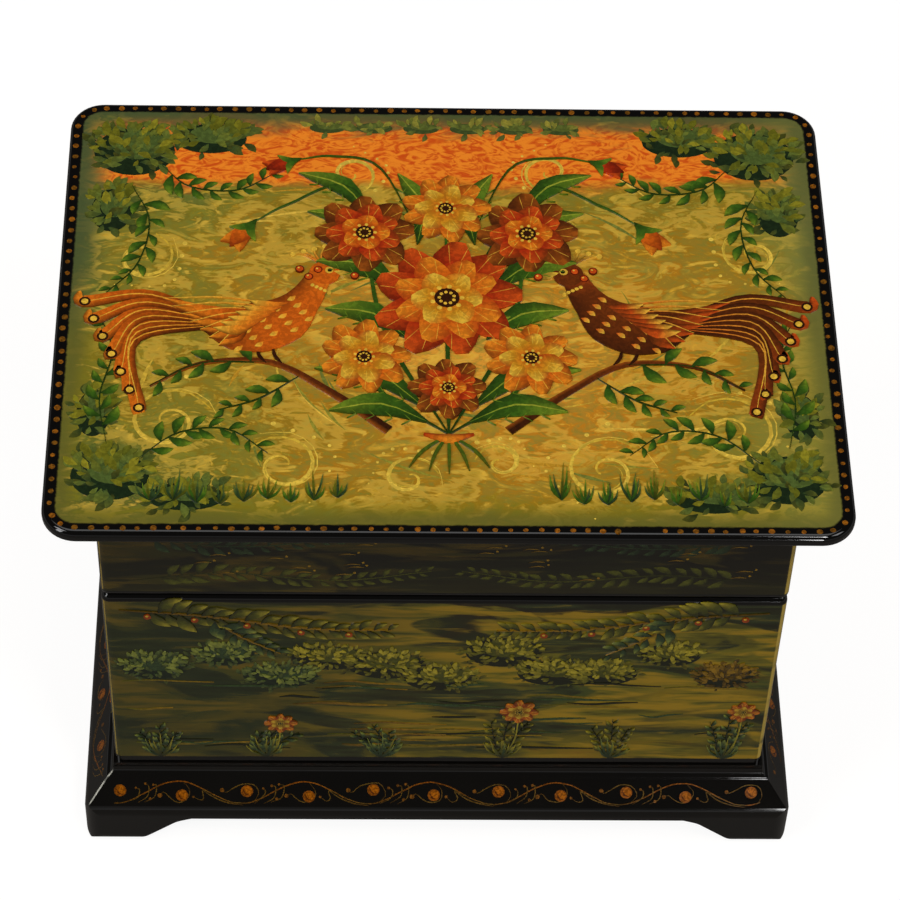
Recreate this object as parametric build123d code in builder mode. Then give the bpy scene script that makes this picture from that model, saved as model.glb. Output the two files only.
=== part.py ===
from build123d import *
from math import radians, tan
import os

os.makedirs("parts", exist_ok=True)

# A lacquered papier-mache casket. The origin is on the surface that it stands on,
# under the middle of the box. +X runs along the front, +Y to the hinged back, +Z up.
# All lengths are in millimetres and all angles in degrees.

# Box: one wound tube of four walls
body_length = 140.5
body_depth = 97.5
wall_height = 69.2
wall_thickness = 5.0
body_corner_radius = 1.6
body_inner_radius = 1.0

# Boards under and inside the walls
base_thickness = 3.0
floor_thickness = 2.5

# Joint between box and lid: both edges are rounded, and they stay a hair apart
joint_gap = 0.2
joint_edge_radius = 1.5

# Ring inside the walls that locates the lid
collar_thickness = 1.5
collar_depth = 9.0
collar_stand = 3.0
collar_clearance = 0.3
collar_edge_radius = 0.6

# Lid: a hollow rim under an overhanging panel
rim_height = 30.7
lid_overhang = 9.75
lid_corner_radius = 7.0
lid_panel_thickness = 2.8
lid_top_edge_radius = 1.2
lid_bottom_edge_radius = 0.8

# Plinth moulding, measured outwards from the wall and up from its own underside
plinth_overhang = 6.95
plinth_height = 12.1
plinth_corner_radius = 3.2
fascia_height = 2.5
nose_radius = 4.0
shoulder_reach = 2.0
shoulder_height = 8.6
shoulder_radius = 1.5
cove_height = 10.7
lip_thickness = 0.35

# Bracket feet: two wings each, with an ogee at the inner end of both
foot_height = 9.5
foot_thickness = 9.0
foot_toe_length = 10.5
foot_slope_run = 9.6
foot_tip_length = 3.2
foot_tip_drop = 1.2
foot_toe_radius = 6.0
foot_tip_radius = 6.0
foot_bottom_radius = 3.0

# Hinge, let into the back joint
opening_angle = 100.0
hinge_inset = 2.4
hinge_length = 60.0
knuckle_count = 5
knuckle_radius = 1.5
knuckle_gap = 0.2
barrel_clearance = 0.3
pin_radius = 0.8
pin_clearance = 0.05
leaf_thickness = 0.6
leaf_height = 9.0
leaf_clearance = 0.05
nail_count = 4
nail_radius = 0.45
nail_clearance = 0.05
nail_drop = 6.0
nail_cover = 1.0
nail_end_margin = 6.0

# How far a cut runs past the surface that it has to open
overrun = 1.0

# Levels
plinth_bottom = foot_height
walls_bottom = plinth_bottom + base_thickness
walls_top = walls_bottom + wall_height
joint_level = walls_top + joint_gap / 2
rim_bottom = joint_level + joint_gap / 2
rim_top = rim_bottom + rim_height

# Outlines
lid_length = body_length + 2 * lid_overhang
lid_depth = body_depth + 2 * lid_overhang
plinth_length = body_length + 2 * plinth_overhang
plinth_depth = body_depth + 2 * plinth_overhang
inner_length = body_length - 2 * wall_thickness
inner_depth = body_depth - 2 * wall_thickness
rim_inner_length = inner_length + 2 * collar_clearance
rim_inner_depth = inner_depth + 2 * collar_clearance

# Hinge places
hinge_y = body_depth / 2 - hinge_inset
wall_inner_y = inner_depth / 2
rim_inner_y = rim_inner_depth / 2
groove_radius = knuckle_radius + barrel_clearance
knuckle_pitch = hinge_length / knuckle_count
knuckle_length = knuckle_pitch - knuckle_gap
nail_end_y = body_depth / 2 - nail_cover
nail_pitch = (hinge_length - 2 * nail_end_margin) / (nail_count - 1)


def board(level, length, depth, radius, thickness):
    """A flat board with rounded corners, with its underside at a level."""
    with BuildPart() as plate:
        with BuildSketch(Plane.XY.offset(level)):
            RectangleRounded(length, depth, radius)
        extrude(amount=thickness)
    return plate.part


def back_bevel(up):
    """The wedge taken off a back edge, above (up = 1) or below (up = -1) the joint.

    Both bevels slope by half the opening angle, so that they come together, one
    joint gap apart, where the lid stops.
    """
    slope = radians(opening_angle / 2)
    half_gap = joint_gap / 2
    inner_y = hinge_y - half_gap * tan(slope / 2)
    outer_y = inner_y + hinge_inset + overrun
    edge_level = joint_level + up * half_gap
    outer_level = edge_level + up * (outer_y - inner_y) * tan(slope)
    open_level = joint_level - up * overrun
    with BuildPart() as wedge:
        with BuildSketch(Plane.YZ):
            Polygon(
                (inner_y, open_level),
                (inner_y, edge_level),
                (outer_y, outer_level),
                (outer_y, open_level),
                align=None,
            )
        extrude(amount=body_length / 2 + overrun, both=True)
    return wedge.part


def nail_row(up, radius, inner_y, outer_y):
    """Round bars through the back wall or rim, one for each hinge nail."""
    with BuildPart() as row:
        with BuildSketch(Plane.XZ.offset(-outer_y)):
            with Locations((0, joint_level + up * nail_drop)):
                with GridLocations(nail_pitch, 0, nail_count, 1):
                    Circle(radius)
        extrude(amount=outer_y - inner_y)
    return row.part


def hinge_pocket(up, inner_y):
    """Barrel groove, leaf slot and nail holes, as cut into the wall or the rim."""
    slot_height = leaf_height + leaf_clearance
    with BuildPart() as pocket:
        with BuildSketch(Plane.YZ):
            with Locations((hinge_y, joint_level)):
                Circle(groove_radius)
        extrude(amount=hinge_length / 2 + barrel_clearance, both=True)
        with BuildSketch(Plane.YZ):
            with Locations((hinge_y, joint_level + up * slot_height / 2)):
                Rectangle(leaf_thickness + 2 * leaf_clearance, slot_height)
        extrude(amount=hinge_length / 2 + leaf_clearance, both=True)
        add(nail_row(up, nail_radius, inner_y - overrun, nail_end_y))
    return pocket.part


def hinge_leaf(up, first_knuckle):
    """A leaf in its slot, with every second knuckle of the barrel rolled onto it."""
    knuckles = range(first_knuckle, knuckle_count, 2)
    places = [(k + 1 / 2) * knuckle_pitch - hinge_length / 2 for k in knuckles]
    with BuildPart() as leaf:
        with BuildSketch(Plane.XZ.offset(-hinge_y)):
            with Locations((0, joint_level + up * (leaf_height + groove_radius) / 2)):
                Rectangle(hinge_length, leaf_height - groove_radius)
            for place in places:
                with Locations((place, joint_level + up * groove_radius / 2)):
                    Rectangle(knuckle_length, groove_radius)
        extrude(amount=leaf_thickness / 2, both=True)
        for place in places:
            with BuildSketch(Plane.YZ.offset(place)):
                with Locations((hinge_y, joint_level)):
                    Circle(knuckle_radius)
            extrude(amount=knuckle_length / 2, both=True)
        with BuildSketch(Plane.YZ):
            with Locations((hinge_y, joint_level)):
                Circle(pin_radius + pin_clearance)
        extrude(amount=hinge_length, both=True, mode=Mode.SUBTRACT)
        holes = nail_row(up, nail_radius + nail_clearance, wall_inner_y, nail_end_y)
        add(holes, mode=Mode.SUBTRACT)
    return leaf.part


def plinth_strip(outward, wall_distance, wall_length):
    """One mitred strip of moulding, glued to the wall that faces outward."""
    out = Vector(*outward)
    foot_of_wall = out * wall_distance + Vector(0, 0, plinth_bottom)
    section = Plane(origin=foot_of_wall, x_dir=out, z_dir=out.cross(Vector(0, 0, 1)))
    along = section.z_dir
    with BuildPart() as strip:
        with BuildSketch(section) as profile:
            with BuildLine():
                FilletPolyline(
                    (lip_thickness, cove_height),
                    (lip_thickness, plinth_height),
                    (-body_corner_radius, plinth_height),
                    (-body_corner_radius, 0),
                    (plinth_overhang, 0),
                    (plinth_overhang, fascia_height),
                    (shoulder_reach, shoulder_height),
                    radius=(0, 0, 0, 0, nose_radius),
                )
                TangentArc(
                    (lip_thickness, cove_height),
                    (shoulder_reach, shoulder_height),
                    tangent=(0, -1),
                )
            make_face()
            shoulder = profile.vertices().sort_by_distance((shoulder_reach, shoulder_height))[0]
            fillet(shoulder, shoulder_radius)
        extrude(amount=wall_length / 2 + plinth_overhang, both=True)
        for end in (-1, 1):
            corner = foot_of_wall + along * (end * wall_length / 2)
            split(bisect_by=Plane(origin=corner, z_dir=out - along * end))
        outline = board(plinth_bottom, plinth_length, plinth_depth, plinth_corner_radius, plinth_height)
        add(outline, mode=Mode.INTERSECT)
        wall = board(plinth_bottom, body_length, body_depth, body_corner_radius, plinth_height)
        add(wall, mode=Mode.SUBTRACT)
    return strip.part


def foot_wing(plane, run):
    """The side view of a foot, its outer corner at the plane's origin, as a thick slab."""
    slope_end = foot_toe_length + foot_slope_run
    wing_length = slope_end + foot_tip_length
    with BuildPart() as wing:
        with BuildSketch(plane):
            with BuildLine():
                FilletPolyline(
                    (0, foot_height),
                    (0, 0),
                    (foot_toe_length, 0),
                    (slope_end, foot_height - foot_tip_drop),
                    (wing_length, foot_height),
                    radius=(foot_bottom_radius, foot_toe_radius, foot_tip_radius),
                )
                Line((wing_length, foot_height), (0, foot_height))
            make_face()
        extrude(amount=run)
    return wing.part


# Box walls, with the hinge let into the top of the back wall
with BuildPart() as body_walls:
    with BuildSketch(Plane.XY.offset(walls_bottom)):
        RectangleRounded(body_length, body_depth, body_corner_radius)
        RectangleRounded(inner_length, inner_depth, body_inner_radius, mode=Mode.SUBTRACT)
    extrude(amount=wall_height)
    fillet(body_walls.faces().sort_by(Axis.Z)[-1].outer_wire().edges(), joint_edge_radius)
    add(back_bevel(-1), mode=Mode.SUBTRACT)
    add(hinge_pocket(-1, wall_inner_y), mode=Mode.SUBTRACT)
body_walls.part.label = "body_walls"
export_step(body_walls.part, "parts/body_walls.step")

# Board that the walls stand on
base_board = board(plinth_bottom, body_length, body_depth, body_corner_radius, base_thickness)
base_board.label = "base_board"
export_step(base_board, "parts/base_board.step")

# Inner floor, glued in between the walls
body_floor = board(walls_bottom, inner_length, inner_depth, body_inner_radius, floor_thickness)
body_floor.label = "body_floor"
export_step(body_floor, "parts/body_floor.step")

# Collar, glued inside the walls and standing up into the lid
with BuildPart() as inner_collar:
    with BuildSketch(Plane.XY.offset(walls_top - collar_depth)):
        RectangleRounded(inner_length, inner_depth, body_inner_radius)
        offset(amount=-collar_thickness, mode=Mode.SUBTRACT)
    extrude(amount=collar_depth + collar_stand)
    fillet(inner_collar.faces().sort_by(Axis.Z)[-1].outer_wire().edges(), collar_edge_radius)
inner_collar.part.label = "inner_collar"
export_step(inner_collar.part, "parts/inner_collar.step")

# Plinth, four strips of one moulding
sides = {
    "front": ((0, -1, 0), body_depth / 2, body_length),
    "back": ((0, 1, 0), body_depth / 2, body_length),
    "left": ((-1, 0, 0), body_length / 2, body_depth),
    "right": ((1, 0, 0), body_length / 2, body_depth),
}
for side, place in sides.items():
    strip = plinth_strip(*place)
    strip.label = f"plinth_{side}"
    export_step(strip, f"parts/plinth_{side}.step")

# One foot, and its mirror images at the other corners
corner_x = plinth_length / 2
corner_y = plinth_depth / 2
front_view = Plane(origin=(-corner_x, -corner_y, 0), x_dir=(1, 0, 0), z_dir=(0, -1, 0))
side_view = Plane(origin=(-corner_x, -corner_y, 0), x_dir=(0, 1, 0), z_dir=(1, 0, 0))
foot_reach = foot_toe_length + foot_slope_run + foot_tip_length
with BuildPart() as foot:
    with BuildSketch(Plane.XY):
        RectangleRounded(plinth_length, plinth_depth, plinth_corner_radius)
        offset(amount=-foot_thickness, kind=Kind.INTERSECTION, mode=Mode.SUBTRACT)
    extrude(amount=foot_height)
    add(foot_wing(front_view, -foot_reach), mode=Mode.INTERSECT)
    add(foot_wing(side_view, foot_reach), mode=Mode.INTERSECT)
feet = {
    "foot_front_left": foot.part,
    "foot_front_right": foot.part.mirror(Plane.YZ),
    "foot_back_left": foot.part.mirror(Plane.XZ),
    "foot_back_right": foot.part.mirror(Plane.YZ).mirror(Plane.XZ),
}
for name, piece in feet.items():
    piece.label = name
    export_step(piece, f"parts/{name}.step")

# Lid rim
with BuildPart() as lid_rim:
    with BuildSketch(Plane.XY.offset(rim_bottom)):
        RectangleRounded(body_length, body_depth, body_corner_radius)
        RectangleRounded(rim_inner_length, rim_inner_depth, body_inner_radius, mode=Mode.SUBTRACT)
    extrude(amount=rim_height)
    fillet(lid_rim.faces().sort_by(Axis.Z)[0].outer_wire().edges(), joint_edge_radius)
    add(back_bevel(1), mode=Mode.SUBTRACT)
    add(hinge_pocket(1, rim_inner_y), mode=Mode.SUBTRACT)
lid_rim.part.label = "lid_rim"
export_step(lid_rim.part, "parts/lid_rim.step")

# Lid panel, with soft edges all round
with BuildPart() as lid_panel:
    add(board(rim_top, lid_length, lid_depth, lid_corner_radius, lid_panel_thickness))
    fillet(lid_panel.faces().sort_by(Axis.Z)[-1].edges(), lid_top_edge_radius)
    fillet(lid_panel.faces().sort_by(Axis.Z)[0].edges(), lid_bottom_edge_radius)
lid_panel.part.label = "lid_panel"
export_step(lid_panel.part, "parts/lid_panel.step")

# Hinge: two leaves, the pin and the nails
hinge_leaf_body = hinge_leaf(-1, 0)
hinge_leaf_body.label = "hinge_leaf_body"
export_step(hinge_leaf_body, "parts/hinge_leaf_body.step")

hinge_leaf_lid = hinge_leaf(1, 1)
hinge_leaf_lid.label = "hinge_leaf_lid"
export_step(hinge_leaf_lid, "parts/hinge_leaf_lid.step")

with BuildPart() as hinge_pin:
    with BuildSketch(Plane.YZ):
        with Locations((hinge_y, joint_level)):
            Circle(pin_radius)
    extrude(amount=(hinge_length - knuckle_gap) / 2, both=True)
hinge_pin.part.label = "hinge_pin"
export_step(hinge_pin.part, "parts/hinge_pin.step")

hinge_nails_body = nail_row(-1, nail_radius, wall_inner_y, nail_end_y)
hinge_nails_body.label = "hinge_nails_body"
export_step(hinge_nails_body, "parts/hinge_nails_body.step")

hinge_nails_lid = nail_row(1, nail_radius, rim_inner_y, nail_end_y)
hinge_nails_lid.label = "hinge_nails_lid"
export_step(hinge_nails_lid, "parts/hinge_nails_lid.step")
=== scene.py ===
# %% [markdown]
# # A lacquered papier-mache casket
#
# The box, its lid, the plinth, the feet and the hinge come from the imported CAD
# model, which stays as it is. This script gives them paint and lacquer, and adds
# what a painter adds with a fine brush: gold dots round the lid, a gold scroll on
# the plinth, and the painted pictures. A Blender unit is a metre, so sizes in
# millimetres are multiplied by MM.

# %% Load the frame
import math
import random

import bmesh
import bpy
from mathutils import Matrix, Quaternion, Vector


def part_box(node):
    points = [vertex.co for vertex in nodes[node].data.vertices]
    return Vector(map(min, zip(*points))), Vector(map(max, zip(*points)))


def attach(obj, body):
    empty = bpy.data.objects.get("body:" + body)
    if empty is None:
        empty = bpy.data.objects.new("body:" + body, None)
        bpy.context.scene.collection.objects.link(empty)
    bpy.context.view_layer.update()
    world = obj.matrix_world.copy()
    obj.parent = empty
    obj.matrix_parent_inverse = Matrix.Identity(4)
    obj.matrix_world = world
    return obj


MM = 0.001
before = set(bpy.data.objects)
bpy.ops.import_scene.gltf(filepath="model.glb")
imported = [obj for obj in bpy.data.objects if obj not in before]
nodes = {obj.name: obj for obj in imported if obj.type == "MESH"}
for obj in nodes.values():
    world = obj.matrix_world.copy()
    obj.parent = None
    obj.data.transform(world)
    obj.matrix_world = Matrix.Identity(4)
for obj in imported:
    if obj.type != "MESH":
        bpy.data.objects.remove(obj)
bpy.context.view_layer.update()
print("CAD nodes:", len(nodes))

# %% [markdown]
# ## Sizes read from the frame
#
# Paint follows the solids, so every picture takes its place from the box of the
# node that carries it. The sizes could be typed again here, but then paint and
# solid would part when the model changes.

# %% Corners of the main parts, in millimetres
def corners_of(node):
    """Lowest and highest corner of a node, in millimetres."""
    low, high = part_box(node)
    return Vector(low) / MM, Vector(high) / MM


panel_low, panel_high = corners_of("lid_panel")
rim_low, rim_high = corners_of("lid_rim")
wall_low, wall_high = corners_of("body_walls")
strip_low, strip_high = corners_of("plinth_front")
print("lid top at", round(panel_high.z, 2), "and walls up to", round(wall_high.z, 2))

# %% Sides: outward direction, distance from the middle and half the length
upward = Vector((0, 0, 1))
side_faces = {
    "front": (Vector((0, -1, 0)), wall_high.y, wall_high.x),
    "back": (Vector((0, 1, 0)), wall_high.y, wall_high.x),
    "left": (Vector((-1, 0, 0)), wall_high.x, wall_high.y),
    "right": (Vector((1, 0, 0)), wall_high.x, wall_high.y),
}
print("sides:", ", ".join(side_faces))

# %% [markdown]
# ## Camera
#
# The photograph was taken from above the front through a long lens. The place, the
# aim and the small roll were found by laying the corners of the solids over the
# same corners in the photograph. A long lens from far off keeps the sides nearly
# parallel, which a near camera with a wide lens would not.

# %% Camera
camera_place = Vector((-18.78, -469.11, 653.57)) * MM
camera_aim = Vector((1.79, 0, 69.54)) * MM
camera_roll = math.radians(2.355)
camera_lens = 138.99
camera_reach = 10

camera_data = bpy.data.cameras.new("camera")
camera_data.lens = camera_lens
camera_data.clip_end = camera_reach
camera = bpy.data.objects.new("camera", camera_data)
bpy.context.scene.collection.objects.link(camera)
camera.location = camera_place
camera.rotation_mode = "QUATERNION"
facing = (camera_aim - camera_place).to_track_quat("-Z", "Y")
camera.rotation_quaternion = facing @ Quaternion((0, 0, 1), camera_roll)
bpy.context.scene.camera = camera
print("camera distance", round((camera_place - camera_aim).length, 3), "m")

# %% [markdown]
# ## Shader sums
#
# A painted surface needs many small sums: distances, masks and mixtures. Wired by
# hand they fill pages. The class below wraps one socket, so that a sum written in
# Python becomes a chain of Math nodes, and one method adds every other node.

# %% A socket that can stand in a sum
class Wire:
    """An output socket of a node tree. A sum on it adds the Math nodes it needs."""

    def __init__(self, tree, socket=None):
        self.tree = tree
        self.socket = socket

    def node(self, kind, settings=None, inputs=None, output=0):
        """Adds a node with its settings and inputs, and gives back one of its outputs."""
        made = self.tree.nodes.new("ShaderNode" + kind)
        for name, value in (settings or {}).items():
            if name == "stops":
                set_stops(made.color_ramp, value)
            else:
                setattr(made, name, value)
        for name, value in (inputs or {}).items():
            if isinstance(value, Wire):
                self.tree.links.new(value.socket, made.inputs[name])
            else:
                made.inputs[name].default_value = value
        return Wire(self.tree, made.outputs[output] if len(made.outputs) else None)

    def math(self, operation, *values):
        return self.node("Math", {"operation": operation}, dict(enumerate(values)))

    def __add__(self, other):
        return self.math("ADD", self, other)

    def __radd__(self, other):
        return self.math("ADD", other, self)

    def __sub__(self, other):
        return self.math("SUBTRACT", self, other)

    def __rsub__(self, other):
        return self.math("SUBTRACT", other, self)

    def __mul__(self, other):
        return self.math("MULTIPLY", self, other)

    def __rmul__(self, other):
        return self.math("MULTIPLY", other, self)

    def __truediv__(self, other):
        return self.math("DIVIDE", self, other)

    def high(self, other):
        return self.math("MAXIMUM", self, other)

    def low(self, other):
        return self.math("MINIMUM", self, other)

    def size(self):
        return self.math("ABSOLUTE", self)

    def root(self):
        return self.math("SQRT", self)

    def wave(self):
        return self.math("SINE", self)

    def step(self, start, end):
        """Turns smoothly from 0 at start to 1 at end, whichever of them is lower."""
        low, high = min(start, end), max(start, end)
        first, last = (0.0, 1.0) if start < end else (1.0, 0.0)
        inputs = {0: self, 1: low, 2: high, 3: first, 4: last}
        return self.node("MapRange", {"interpolation_type": "SMOOTHSTEP"}, inputs)

    def mix(self, first, second):
        """A colour between two colours. This socket is the share of the second."""
        return self.node("Mix", {"data_type": "RGBA"}, {0: self, 6: first, 7: second}, 2)


# %% Stops, colours and new materials
def set_stops(ramp, stops):
    """Gives a colour ramp its stops, a list of (place, colour)."""
    ramp.elements.remove(ramp.elements[0])
    ramp.elements[0].position, ramp.elements[0].color = stops[0]
    for place, colour in stops[1:]:
        ramp.elements.new(place).color = colour


def tint(red, green, blue):
    """A colour as a picture shows it, 0 to 255, as the linear colour a shader takes."""
    shares = [value / 255 for value in (red, green, blue)]
    return (*[s / 12.92 if s <= 0.04045 else ((s + 0.055) / 1.055) ** 2.4 for s in shares], 1.0)


def new_material(name):
    """A material with no nodes yet, and the wire on which they start."""
    material = bpy.data.materials.new(name)
    material.use_nodes = True
    material.node_tree.nodes.clear()
    return material, Wire(material.node_tree)


print("mid grey is", [round(value, 3) for value in tint(128, 128, 128)])

# %% [markdown]
# ## Floor, surround and lamps
#
# The box stands on a white ground in a dark studio. Black lacquer is a mirror, so
# what surrounds it matters as much as its own colour. The ground is a warm grey in
# itself. A glow for the camera's own rays lifts it to white, and a far weaker glow
# for glossy rays gives the upright sides their faint warm haze. The soft shadow
# stays, because it lies in the grey.

# %% Ground
floor_size = 6.0
floor_tone = (0.15, 0.135, 0.12, 1.0)
floor_glow = 0.92
gloss_glow = 0.04


def rays(wire, kind):
    """1 for the rays of one kind, such as Camera, and 0 for all others."""
    return wire.node("LightPath", output=f"Is {kind} Ray")


floor_mesh = bmesh.new()
bmesh.ops.create_grid(floor_mesh, x_segments=1, y_segments=1, size=floor_size / 2)
floor_data = bpy.data.meshes.new("floor")
floor_mesh.to_mesh(floor_data)
floor_mesh.free()
floor = bpy.data.objects.new("floor", floor_data)
bpy.context.scene.collection.objects.link(floor)

ground, wire = new_material("white_ground")
matt = wire.node("BsdfDiffuse", {}, {"Color": floor_tone})
direct = rays(wire, "Camera") + rays(wire, "Transmission")
glow = wire.node("Emission", {}, {"Strength": direct * floor_glow + rays(wire, "Glossy") * gloss_glow})
wire.node("OutputMaterial", {}, {"Surface": wire.node("AddShader", {}, {0: matt, 1: glow})})
floor_data.materials.append(ground)
print("floor", floor_size, "m wide")

# %% [markdown]
# ## Surround
#
# The world is what the lacquer mirrors from above. It is nearly dark overhead, so
# that the blacks stay black, and paler towards the horizon, as a studio's walls
# are. One even grey would lay the same veil over every surface.

# %% Surround
surround_tone = 0.05
horizon_tone = 0.4
horizon_height = 0.3

world = bpy.data.worlds.new("surround")
bpy.context.scene.world = world
world.use_nodes = True
world.node_tree.nodes.clear()
wire = Wire(world.node_tree)
level = wire.node("SeparateXYZ", {}, {0: wire.node("TexCoord", output="Generated")}, 2)
studio = level.size().step(horizon_height, 0.0) * horizon_tone + surround_tone
direct = rays(wire, "Camera") + rays(wire, "Transmission")
sky = wire.node("Background", {}, {"Color": (1, 1, 1, 1), "Strength": direct + (1 - direct) * studio})
wire.node("OutputWorld", {}, {"Surface": sky})
bpy.context.scene.view_settings.view_transform = "Standard"
print("surround from", surround_tone, "overhead to", surround_tone + horizon_tone)

# %% [markdown]
# ## Lamps
#
# Wide softboxes behind and to both sides give the plain light. They stand where no
# long edge of the front mirrors them. Two small ones stand just right of the camera,
# one high and one low. The rounded edges at the right end of the box mirror those,
# which makes the few crisp white glints by which an eye tells lacquer from paint.

# %% Lamps
def softbox(name, place, width, height, power):
    """A rectangular lamp that faces the box. Places are in metres."""
    data = bpy.data.lights.new(name, "AREA")
    data.shape = "RECTANGLE"
    data.size = width
    data.size_y = height
    data.energy = power
    lamp = bpy.data.objects.new(name, data)
    lamp.location = place
    lamp.rotation_mode = "QUATERNION"
    lamp.rotation_quaternion = (lamp_aim - Vector(place)).to_track_quat("-Z", "Y")
    bpy.context.scene.collection.objects.link(lamp)
    print(name, power, "W")


lamp_aim = Vector((0, 0, 0.06))
softbox("lamp_above", (0.0, 0.45, 1.6), 0.9, 0.7, 3.5)
softbox("lamp_left_high", (-0.85, -0.35, 1.35), 0.5, 0.5, 5.5)
softbox("lamp_right_far", (0.9, -0.35, 1.35), 0.5, 0.5, 3.5)
softbox("lamp_left", (-1.2, -0.9, 0.9), 0.4, 0.8, 7.5)
softbox("lamp_right_high", (0.355, -0.66, 1.36), 0.18, 0.25, 5.2)
softbox("lamp_right_low", (0.341, -1.42, 0.27), 0.18, 0.34, 5.2)

# %% [markdown]
# ## Lacquer
#
# Every painted part carries coats of clear lacquer, rubbed down until it is a dark
# mirror. One ending therefore serves all the materials: the colour lies under a
# hard gloss, and the surface is flat but for the faint waves that rubbing leaves.
# The lacquer has also yellowed. Each painted colour is multiplied by its amber
# instead of being chosen yellower, so that one value sets the cast of them all.

# %% Lacquer
gloss_roughness = 0.045
gloss_wave = 0.004
wave_size = 9.0
amber = (1.0, 0.9, 0.32, 1.0)


def noise(wire, size, detail=3.0, stretch=(1.0, 1.0, 1.0), warp=0.0, shift=0.0):
    """Noise from 0 to 1 whose blots are about this many millimetres across."""
    place = wire.node("TexCoord", output="Object")
    scale = tuple(share / (size * MM) for share in stretch)
    spot = wire.node("Mapping", {}, {"Vector": place, "Scale": scale, "Location": (shift, shift, shift)})
    return wire.node("TexNoise", {}, {"Vector": spot, "Scale": 1.0, "Detail": detail, "Distortion": warp})


def coordinates(wire):
    """The three object coordinates, in millimetres."""
    place = wire.node("TexCoord", output="Object")
    return [wire.node("SeparateXYZ", {}, {0: place}, axis) * (1 / MM) for axis in range(3)]


def varnished(wire, colour):
    """A colour as it looks under lacquer that has yellowed."""
    return wire.node("Mix", {"data_type": "RGBA", "blend_type": "MULTIPLY"}, {0: 1.0, 6: colour, 7: amber}, 2)


def finish(wire, colour, roughness=gloss_roughness, relief=None, **plain):
    """Ends a tree in a Principled shader. plain holds what is the same all over."""
    height = noise(wire, wave_size) if relief is None else relief
    bump = wire.node("Bump", {}, {"Height": height, "Distance": gloss_wave * MM})
    inputs = {"Base Color": colour, "Roughness": roughness, "Normal": bump}
    for name, value in plain.items():
        inputs[name.replace("_", " ").title()] = value
    shader = wire.node("BsdfPrincipled", {}, inputs)
    wire.node("OutputMaterial", {}, {"Surface": shader})


def dress(material, *names):
    """Puts a material on CAD nodes, in place of the plain one they came with."""
    for name in names:
        nodes[name].data.materials.clear()
        nodes[name].data.materials.append(material)
    print(material.name, "on", len(names), "nodes")


# %% [markdown]
# ## Black lacquer
#
# The plinth, the feet and the base board are plain black. A painted highlight, a pale
# line, runs along the left mitres, where their ridge would mirror a lamp. The line is
# drawn by a distance to the mitre's plane, which needs no extra geometry.

# %% Black lacquer on the plinth, the feet and the base board
black = tint(6, 5, 4)
black_worn = tint(14, 12, 9)
# Colour, width, foot, fade and strength of the painted highlight on the left mitres.
mitre_highlight_colour = tint(206, 204, 190)
mitre_highlight_width = 0.36
mitre_highlight_foot = 3.2
mitre_highlight_fade = 1.0
mitre_highlight_force = 0.9

material, wire = new_material("black_lacquer")
x, y, z = coordinates(wire)
past_x, past_y = x.size() - wall_high.x, y.size() - wall_high.y
# Painted highlight: a pale line along the left mitres of the plinth, standing in for a lamp mirrored in their
# ridge.
mitre_highlight = (past_x - past_y).size().step(mitre_highlight_width, mitre_highlight_width / 3) * past_x.step(0.4, 0.8)
mitre_highlight_level = strip_low.z + mitre_highlight_foot
mitre_highlight = mitre_highlight * x.step(0.0, -10.0) * z.step(mitre_highlight_level, mitre_highlight_level + mitre_highlight_fade)
mitre_highlight = mitre_highlight * noise(wire, 4.0, shift=1.0).step(0.36, 0.62)
colour = noise(wire, 14.0).mix(black, black_worn)
finish(wire, (mitre_highlight * mitre_highlight_force).mix(colour, mitre_highlight_colour), gloss_roughness * (0.7 + noise(wire, 6.0) * 0.6))
plinth_nodes = [name for name in nodes if name.startswith(("plinth_", "foot_"))]
dress(material, "base_board", *plinth_nodes)

# %% [markdown]
# ## Red lacquer inside
#
# These boxes are lacquered red inside, a colour that shows only when the lid is
# open. It could be one flat colour, but a brush leaves it slightly uneven, so two
# reds are mixed by a soft noise.

# %% Red lacquer
red = tint(150, 22, 14)
deep_red = tint(118, 14, 10)


def red_lacquer(wire):
    """Brushed red, a little darker in broad streaks."""
    return noise(wire, 22.0, stretch=(1.0, 1.0, 3.0)).mix(red, deep_red)


material, wire = new_material("red_lacquer")
finish(wire, red_lacquer(wire), gloss_roughness * 2)
dress(material, "body_floor", "inner_collar")

# %% [markdown]
# ## Brass hinge
#
# The hinge is let in at the back, and only its knuckles show. Brass is a metal, so
# its colour tints its reflections. Fine scratches in the roughness keep it from
# looking like gold leaf.

# %% Brass
material, wire = new_material("brass")
bright_brass = tint(214, 172, 96)
dull_brass = tint(160, 118, 58)
scratches = noise(wire, 0.6, stretch=(0.1, 1.0, 1.0))
brass_colour = noise(wire, 3.0).mix(bright_brass, dull_brass)
finish(wire, brass_colour, 0.25 + scratches * 0.25, scratches, metallic=1.0)
dress(material, *[name for name in nodes if name.startswith("hinge_")])

# %% [markdown]
# ## Painted grounds
#
# Under the brush drawing lies a soft ground: a luminous yellow field on the lid,
# dusky olive and ochre on the walls. Soft tones without an outline suit a shader,
# where distances and noise melt into each other. What has a crisp edge is drawn
# later, as strokes of its own.

# %% Helpers for the grounds
border_width = 2.8


def inside_by(across, along, half_width, half_depth, radius):
    """How far a point lies inside a rounded rectangle, in millimetres."""
    past_x = across.size() - (half_width - radius)
    past_y = along.size() - (half_depth - radius)
    round_part = (past_x.high(0.0) * past_x.high(0.0) + past_y.high(0.0) * past_y.high(0.0)).root()
    return radius - round_part - past_x.high(past_y).low(0.0)


def ramp(wire, value, stops):
    """A colour ramp with soft joints. Its stops are (place, colour)."""
    return wire.node("ValToRGB", {"stops": stops}, {0: value})


def touched(field, mask, start, end, force, colour):
    """A field with a colour laid over it where a mask goes from start to end."""
    return (mask.step(start, end) * force).mix(field, colour)


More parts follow.
